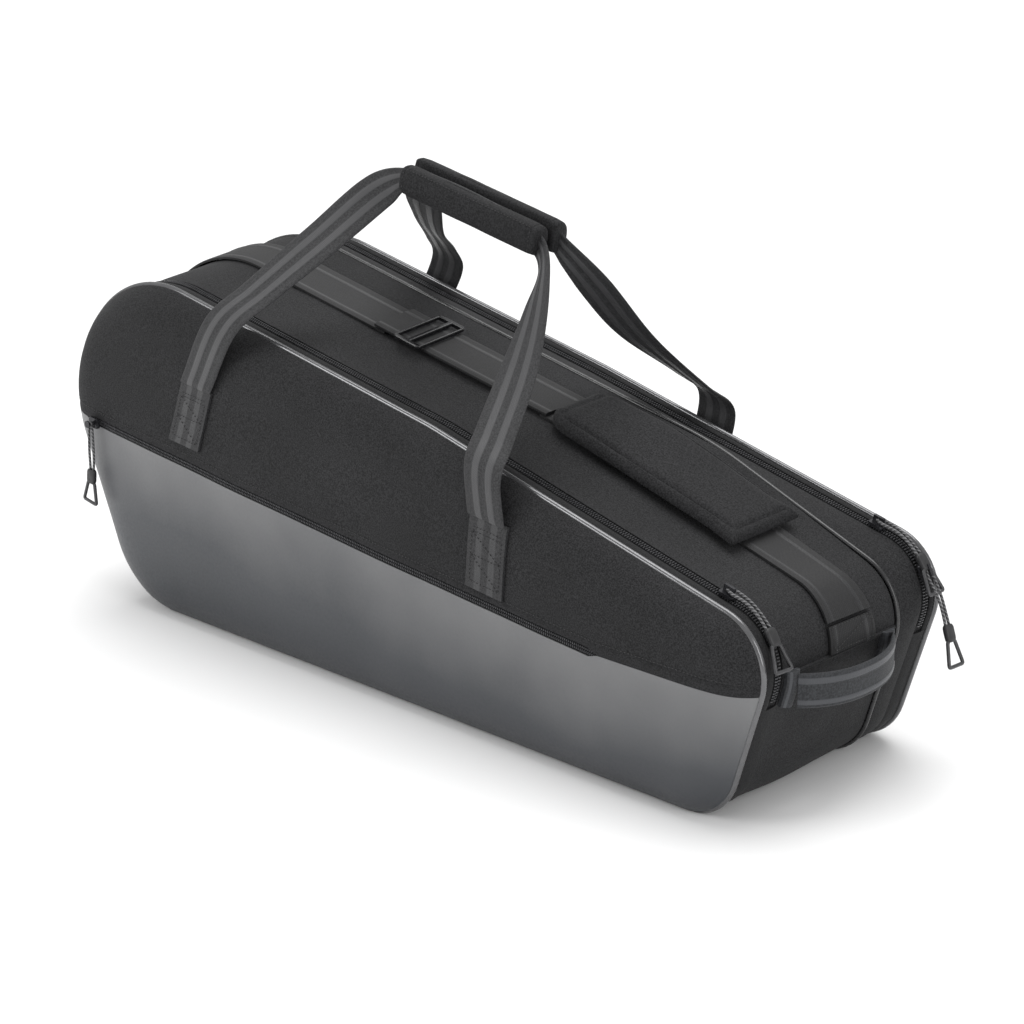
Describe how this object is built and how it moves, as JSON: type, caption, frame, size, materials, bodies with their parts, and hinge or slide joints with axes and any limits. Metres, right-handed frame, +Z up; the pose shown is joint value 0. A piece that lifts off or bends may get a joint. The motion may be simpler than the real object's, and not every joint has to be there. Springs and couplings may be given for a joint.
{
  "type": "racket tournament bag",
  "caption": "Racket tournament bag in charcoal cloth with a grey coated front pocket, main and rear zipped compartments, carry handles, padded shoulder strap and end grab handle",
  "frame": {"origin": "middle of the bag's base, on the ground", "axes": "+X towards the narrow handle end, -Y the front with the zipped pocket, +Z up"},
  "size_m": [0.8065, 0.2528, 0.4101],
  "materials": {
    "charcoal_cloth": "matte melange polyester",
    "coated_cloth": "satin grey coated cloth",
    "lining": "matte lining over foam",
    "padded_cloth": "soft padded knit",
    "webbing": "ribbed polyester webbing",
    "piping": "glossy dark piping",
    "zip": "black coil zip on woven tape",
    "slider_metal": "black painted die-cast metal",
    "cord": "grey braided cord",
    "sleeve": "matte moulded rubber",
    "pull_ring": "grey moulded ring",
    "buckle": "glossy black moulding"
  },
  "bodies": {
    "bag_shell": {"top_gusset": "charcoal_cloth", "base_gusset": "charcoal_cloth", "divider": "lining", "rear_gusset": "charcoal_cloth", "middle_piping": "piping", "main_zip_back_half": "zip", "rear_zip_front_half": "zip", "strap_end_anchor": "webbing", "strap_head_anchor": "webbing", "grab_patch_front": "webbing", "grab_patch_rear": "webbing"},
    "front_cover": {"front_wall": "lining", "front_cloth": "charcoal_cloth", "pocket_front": "coated_cloth", "pocket_zip": "zip", "front_piping": "piping", "front_strip": "charcoal_cloth", "main_zip_front_half": "zip", "front_handle_patch_head": "webbing", "front_handle_patch_end": "webbing"},
    "rear_cover": {"rear_wall": "lining", "rear_cloth": "charcoal_cloth", "rear_piping": "piping", "rear_strip": "charcoal_cloth", "rear_zip_back_half": "zip", "rear_handle_patch_head": "webbing", "rear_handle_patch_end": "webbing"},
    "front_handle": {"front_handle_webbing": "webbing", "front_handle_wrap_half": "padded_cloth"},
    "rear_handle": {"rear_handle_webbing": "webbing", "rear_handle_wrap_half": "padded_cloth"},
    "main_zip_slider": {"main_slider": "slider_metal"},
    "main_zip_pull": {"main_pull_cord": "cord", "main_pull_sleeve": "sleeve", "main_pull_ring": "pull_ring"},
    "rear_top_zip_slider": {"rear_top_slider": "slider_metal"},
    "rear_top_zip_pull": {"rear_top_pull_cord": "cord", "rear_top_pull_sleeve": "sleeve", "rear_top_pull_ring": "pull_ring"},
    "rear_end_zip_slider": {"rear_end_slider": "slider_metal"},
    "rear_end_zip_pull": {"rear_end_pull_cord": "cord", "rear_end_pull_sleeve": "sleeve", "rear_end_pull_ring": "pull_ring"},
    "pocket_zip_slider": {"pocket_slider": "slider_metal"},
    "pocket_zip_pull": {"pocket_pull_cord": "cord", "pocket_pull_sleeve": "sleeve", "pocket_pull_ring": "pull_ring"},
    "strap_end": {"strap_end_webbing": "webbing"},
    "shoulder_pad": {"shoulder_pad": "padded_cloth"},
    "strap_middle": {"strap_middle_webbing": "webbing"},
    "strap_buckle": {"ladder_buckle": "buckle"},
    "strap_head": {"strap_head_webbing": "webbing"},
    "grab_handle": {"grab_webbing": "webbing"}
  },
  "joints": [
    {"name": "front_opening", "type": "hinge", "parent": "bag_shell", "child": "front_cover", "pos_m": [0, -0.0886, 0], "axis": [1, 0, 0], "range_deg": [0, 30]},
    {"name": "rear_opening", "type": "hinge", "parent": "bag_shell", "child": "rear_cover", "pos_m": [0, 0.0916, 0], "axis": [-1, 0, 0], "range_deg": [0, 30]},
    {"name": "front_handle_swing", "type": "hinge", "parent": "front_cover", "child": "front_handle", "pos_m": [-0.192, -0.1262, 0.22], "axis": [0.9936, 0, -0.1127], "range_deg": [0, 170]},
    {"name": "rear_handle_swing", "type": "hinge", "parent": "rear_cover", "child": "rear_handle", "pos_m": [-0.182, 0.1187, 0.226], "axis": [-0.9944, 0, 0.1059], "range_deg": [0, 170]},
    {"name": "main_zip_slide", "type": "slide", "parent": "bag_shell", "child": "main_zip_slider", "axis": [-0.9688, 0, 0.248], "range_m": [0, 0.262]},
    {"name": "main_pull_swing", "type": "hinge", "parent": "main_zip_slider", "child": "main_zip_pull", "pos_m": [0.33964, -0.0836, 0.16724], "axis": [0, -1, 0], "range_deg": [0, 170]},
    {"name": "rear_top_zip_slide", "type": "slide", "parent": "bag_shell", "child": "rear_top_zip_slider", "axis": [-0.9721, 0, 0.2345], "range_m": [0, 0.262]},
    {"name": "rear_top_pull_swing", "type": "hinge", "parent": "rear_top_zip_slider", "child": "rear_top_zip_pull", "pos_m": [0.34355, 0.0866, 0.1784], "axis": [0, -1, 0], "range_deg": [0, 170]},
    {"name": "rear_end_zip_slide", "type": "hinge", "parent": "bag_shell", "child": "rear_end_zip_slider", "pos_m": [0.34335, 0.0866, 0.12537], "axis": [0, 1, 0], "range_deg": [0, 38]},
    {"name": "rear_end_pull_swing", "type": "hinge", "parent": "rear_end_zip_slider", "child": "rear_end_zip_pull", "pos_m": [0.38891, 0.0866, 0.1496], "axis": [0, -1, 0], "range_deg": [0, 40]},
    {"name": "pocket_zip_slide", "type": "slide", "parent": "front_cover", "child": "pocket_zip_slider", "axis": [0.9952, 0, -0.098], "range_m": [0, 0.565]},
    {"name": "pocket_pull_swing", "type": "hinge", "parent": "pocket_zip_slider", "child": "pocket_zip_pull", "pos_m": [-0.334, -0.1289, 0.16182], "axis": [0, -1, 0], "range_deg": [-85, 85]},
    {"name": "strap_end_lift", "type": "hinge", "parent": "bag_shell", "child": "strap_end", "pos_m": [0.38247, 0, 0.135], "axis": [0, 1, 0], "range_deg": [0, 95]},
    {"name": "pad_slide", "type": "slide", "parent": "strap_end", "child": "shoulder_pad", "axis": [-0.9509, 0, 0.3096], "range_m": [-0.01, 0.007]},
    {"name": "strap_middle_lift", "type": "slide", "parent": "bag_shell", "child": "strap_middle", "axis": [0, 0, 1], "range_m": [0, 0.04]},
    {"name": "buckle_slide", "type": "slide", "parent": "strap_middle", "child": "strap_buckle", "axis": [0.9799, 0, -0.1997], "range_m": [-0.024, 0.12]},
    {"name": "strap_head_lift", "type": "hinge", "parent": "bag_shell", "child": "strap_head", "pos_m": [-0.3825, 0, 0.205], "axis": [0, -1, 0], "range_deg": [0, 95]},
    {"name": "grab_handle_swing", "type": "hinge", "parent": "bag_shell", "child": "grab_handle", "pos_m": [0.395, -0.0139, 0.102], "axis": [0, -1, 0], "range_deg": [-25, 25]}
  ]
}
